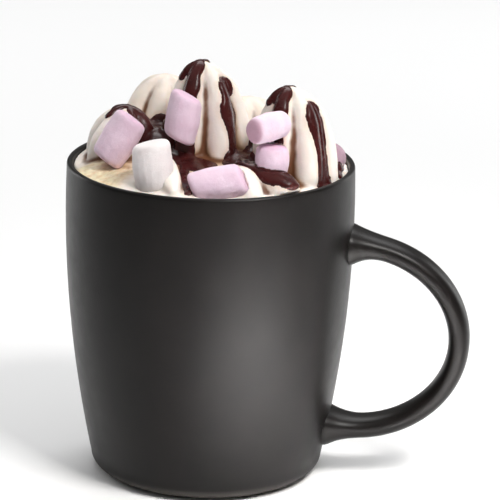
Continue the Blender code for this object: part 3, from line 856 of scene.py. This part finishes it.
def noise_share(tree, scale, detail, roughness=0.5):
    """Noise over the object, as a share."""
    node = tree.nodes.new("ShaderNodeTexNoise")
    node.inputs["Scale"].default_value = scale
    node.inputs["Detail"].default_value = detail
    node.inputs["Roughness"].default_value = roughness
    place = tree.nodes.new("ShaderNodeTexCoord")
    tree.links.new(place.outputs["Object"], node.inputs["Vector"])
    return node.outputs["Fac"]


def surface_height(tree):
    """The height over the floor, in metres."""
    place = tree.nodes.new("ShaderNodeTexCoord")
    split = tree.nodes.new("ShaderNodeSeparateXYZ")
    tree.links.new(place.outputs["Object"], split.inputs[0])
    return split.outputs["Z"]


def marked(tree, name, strength):
    """One of the marks stored on the mesh, weakened to a strength."""
    mark_node = tree.nodes.new("ShaderNodeAttribute")
    mark_node.attribute_name = name
    node = tree.nodes.new("ShaderNodeMath")
    node.operation = "MULTIPLY"
    node.use_clamp = True
    tree.links.new(mark_node.outputs["Fac"], node.inputs[0])
    node.inputs[1].default_value = strength
    return node.outputs[0]


def blend(tree, share, first, second):
    """Mixes two colours, each a constant or a socket, by a share."""
    node = tree.nodes.new("ShaderNodeMix")
    node.data_type = "RGBA"
    for socket, value in ((node.inputs[6], first), (node.inputs[7], second)):
        if isinstance(value, tuple):
            socket.default_value = (*value, 1.0)
        else:
            tree.links.new(value, socket)
    tree.links.new(share, node.inputs[0])
    return node.outputs[2]


def ramp(tree, source, span, first, second):
    """Goes from the first colour to the second as the source rises over a span."""
    node = tree.nodes.new("ShaderNodeValToRGB")
    for element, position, colour in zip(node.color_ramp.elements, span, (first, second)):
        element.position = position
        element.color = (*colour, 1.0)
    tree.links.new(source, node.inputs["Fac"])
    return node.outputs["Color"]


def mottled(tree, scale, detail, pair, span=(0.3, 0.7)):
    """Noise between two colours."""
    return ramp(tree, noise_share(tree, scale, detail), span, *pair)


def greys(values):
    """Plain numbers as colours, for what a ramp feeds to a number."""
    return [(value,) * 3 for value in values]


def add_grain(tree, shader, scale, detail, depth, roughness=0.5):
    """Fine relief of a surface."""
    node = tree.nodes.new("ShaderNodeBump")
    node.inputs["Distance"].default_value = depth
    tree.links.new(noise_share(tree, scale, detail, roughness), node.inputs["Height"])
    tree.links.new(node.outputs["Normal"], shader.inputs["Normal"])


def stoneware_material():
    """Satin black glaze, faintly mottled and dry at the foot, and bare clay on the foot's ring."""
    made, tree, shader = new_material("satin_black_glaze")
    height = surface_height(tree)
    bare = ramp(tree, height, (BARE_CLAY_UP_TO, BARE_CLAY_GONE_FROM), *greys((1.0, 0.0)))
    colour = blend(tree, bare, mottled(tree, 90, 4, GLAZE), BARE_CLAY)
    tree.links.new(colour, shader.inputs["Base Color"])
    dry = ramp(tree, height, (DRY_GLAZE_UP_TO, GLAZE_FULL_FROM), *greys((1.0, 0.0)))
    rough = mottled(tree, 240, 3, greys(GLAZE_ROUGHNESS))
    rough = blend(tree, dry, rough, (DRY_GLAZE_ROUGHNESS,) * 3)
    tree.links.new(rough, shader.inputs["Roughness"])
    shader.inputs["Specular IOR Level"].default_value = GLAZE_SPECULAR
    add_grain(tree, shader, *GLAZE_GRAIN)
    return made


def cream_material():
    """Whipped cream with painted shade in its creases, its valleys and at the back, stained tan
    beside the sauce, and yellow where it is froth.
    """
    made, tree, shader = new_material("whipped_cream")
    foam = mottled(tree, 520, 3, CREAM_FROTH, (0.36, 0.56))
    colour = blend(tree, marked(tree, "froth", 1.0), mottled(tree, 45, 3, CREAM), foam)
    for name, strength, tint in CREAM_STAIN_AND_SHADE:
        colour = blend(tree, marked(tree, name, strength), colour, tint)
    tree.links.new(colour, shader.inputs["Base Color"])
    shader.inputs["Roughness"].default_value = 0.5
    shader.inputs["Subsurface Weight"].default_value = 0.25
    shader.inputs["Subsurface Radius"].default_value = (1.0, 0.6, 0.4)
    shader.inputs["Subsurface Scale"].default_value = 0.0012
    shader.inputs["Specular IOR Level"].default_value = CREAM_SPECULAR
    add_grain(tree, shader, *CREAM_GRAIN)
    return made


def sauce_material():
    made, tree, shader = new_material("chocolate_sauce")
    tree.links.new(mottled(tree, 150, 3, SAUCE, (0.35, 0.7)), shader.inputs["Base Color"])
    tree.links.new(mottled(tree, 350, 2, greys(SAUCE_ROUGHNESS)), shader.inputs["Roughness"])
    shader.inputs["Specular IOR Level"].default_value = SAUCE_SPECULAR
    add_grain(tree, shader, *SAUCE_GRAIN)
    return made


def marshmallow_material(name, dark, light, end):
    """Dry, starch-dusted marshmallow that lets a little light through, with deeper cut ends. Some
    kinds carry painted shade in their colours: the mauve kind in its cut ends, and the rim kind
    all over along with a sauce stain.
    """
    made, tree, shader = new_material(name)
    colour = mottled(tree, 260, 4, (dark, light))
    colour = blend(tree, marked(tree, "cut_end", CUT_END_STRENGTH), colour, end)
    tree.links.new(colour, shader.inputs["Base Color"])
    shader.inputs["Roughness"].default_value = 0.8
    shader.inputs["Subsurface Weight"].default_value = 0.2
    shader.inputs["Subsurface Radius"].default_value = (1.0, 0.7, 0.7)
    shader.inputs["Subsurface Scale"].default_value = 0.0010
    shader.inputs["Sheen Weight"].default_value = 0.10
    add_grain(tree, shader, *MARSHMALLOW_GRAIN)
    return made


def drink_material():
    made, tree, shader = new_material("hot_chocolate_drink")
    tree.links.new(mottled(tree, 60, 3, DRINK), shader.inputs["Base Color"])
    shader.inputs["Roughness"].default_value = 0.2
    return made


def floor_material():
    made, tree, shader = new_material("pale_floor")
    tree.links.new(mottled(tree, 3, 2, PALE_FLOOR), shader.inputs["Base Color"])
    shader.inputs["Roughness"].default_value = 0.7
    return made


def dress(obj, made_of):
    obj.data.materials.clear()
    obj.data.materials.append(made_of)


# The studio

def add_camera():
    """The photograph's view: aimed a little off the mug's middle and rolled, with no shift."""
    data = bpy.data.cameras.new("camera")
    data.sensor_width = CAMERA_SENSOR
    data.lens = CAMERA_LENS
    data.clip_start = CAMERA_NEAREST
    camera = bpy.data.objects.new("camera", data)
    bpy.context.scene.collection.objects.link(camera)
    elevation, roll = CAMERA_ELEVATION, CAMERA_ROLL
    right = Vector((1.0, 0.0, 0.0))
    up = Vector((0.0, math.sin(elevation), math.cos(elevation)))
    back = Vector((0.0, -math.cos(elevation), math.sin(elevation)))
    rolled_right = right * math.cos(roll) + up * math.sin(roll)
    rolled_up = up * math.cos(roll) - right * math.sin(roll)
    turn = Matrix((rolled_right, rolled_up, back)).transposed().to_4x4()
    place = Vector(CAMERA_TARGET) + CAMERA_DISTANCE * back
    camera.matrix_world = layout @ Matrix.Translation(place) @ turn
    bpy.context.scene.camera = camera


def add_softbox(name, place, aim, width, height, watts, colour, spread_degrees):
    """A rectangular light, placed in the layout's directions, that the camera doesn't see."""
    data = bpy.data.lights.new(name, "AREA")
    data.shape = "RECTANGLE"
    data.size, data.size_y = width, height
    data.energy = watts
    data.color = colour
    data.spread = math.radians(spread_degrees)
    light = bpy.data.objects.new(name, data)
    light.visible_camera = False
    bpy.context.scene.collection.objects.link(light)
    turn = (Vector(place) - Vector(aim)).to_track_quat("Z", "Y").to_matrix().to_4x4()
    light.matrix_world = layout @ Matrix.Translation(place) @ turn


def add_studio():
    """A pale floor under softboxes, a wide overhead light and a faint white surround."""
    low, high = -FLOOR_REACH, FLOOR_REACH
    corners = [(low, low, 0), (high, low, 0), (high, high, 0), (low, high, 0)]
    floor = mesh_object("floor", corners, [(0, 1, 2, 3)])
    floor.location.z = -FLOOR_DROP
    dress(floor, floor_material())
    world = bpy.data.worlds.new("studio")
    world.use_nodes = True
    surround = world.node_tree.nodes["Background"]
    surround.inputs["Color"].default_value = (*NEUTRAL, 1.0)
    surround.inputs["Strength"].default_value = STUDIO_STRENGTH
    bpy.context.scene.world = world
    for row in SOFTBOXES:
        add_softbox(*row)
    sun = bpy.data.lights.new("overhead", "SUN")
    sun.energy = OVERHEAD_STRENGTH
    sun.angle = OVERHEAD_ANGLE
    overhead = bpy.data.objects.new("overhead", sun)
    bpy.context.scene.collection.objects.link(overhead)
    bpy.context.scene.view_settings.view_transform = "Standard"


def main():
    dress(mug(), stoneware_material())
    kinds = {kind: marshmallow_material(kind + "_marshmallow", *colours)
             for kind, colours in MARSHMALLOWS.items()}
    trees = []
    for row in frame["record"]["subparts"]:
        if not row["node"].startswith("marshmallow"):
            continue
        piece = soft_marshmallow(row["node"])
        kind = "white" if row["material_slot"].startswith("white") else "pink"
        dress(piece, kinds[SPECIAL.get(row["node"], kind)])
        trees.append(tree_of(piece))

    heap = cream(trees)
    inside = sauce_reach(heap)
    topping = sauce(heap, inside)
    tint_cream(heap, inside)
    for piece, made_of in ((heap, cream_material()), (topping, sauce_material())):
        piece.data.transform(layout)
        shade(piece)
        dress(piece, made_of)
        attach(piece, "root")
    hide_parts("cream")

    dress(drink(), drink_material())
    add_camera()
    add_studio()


main()
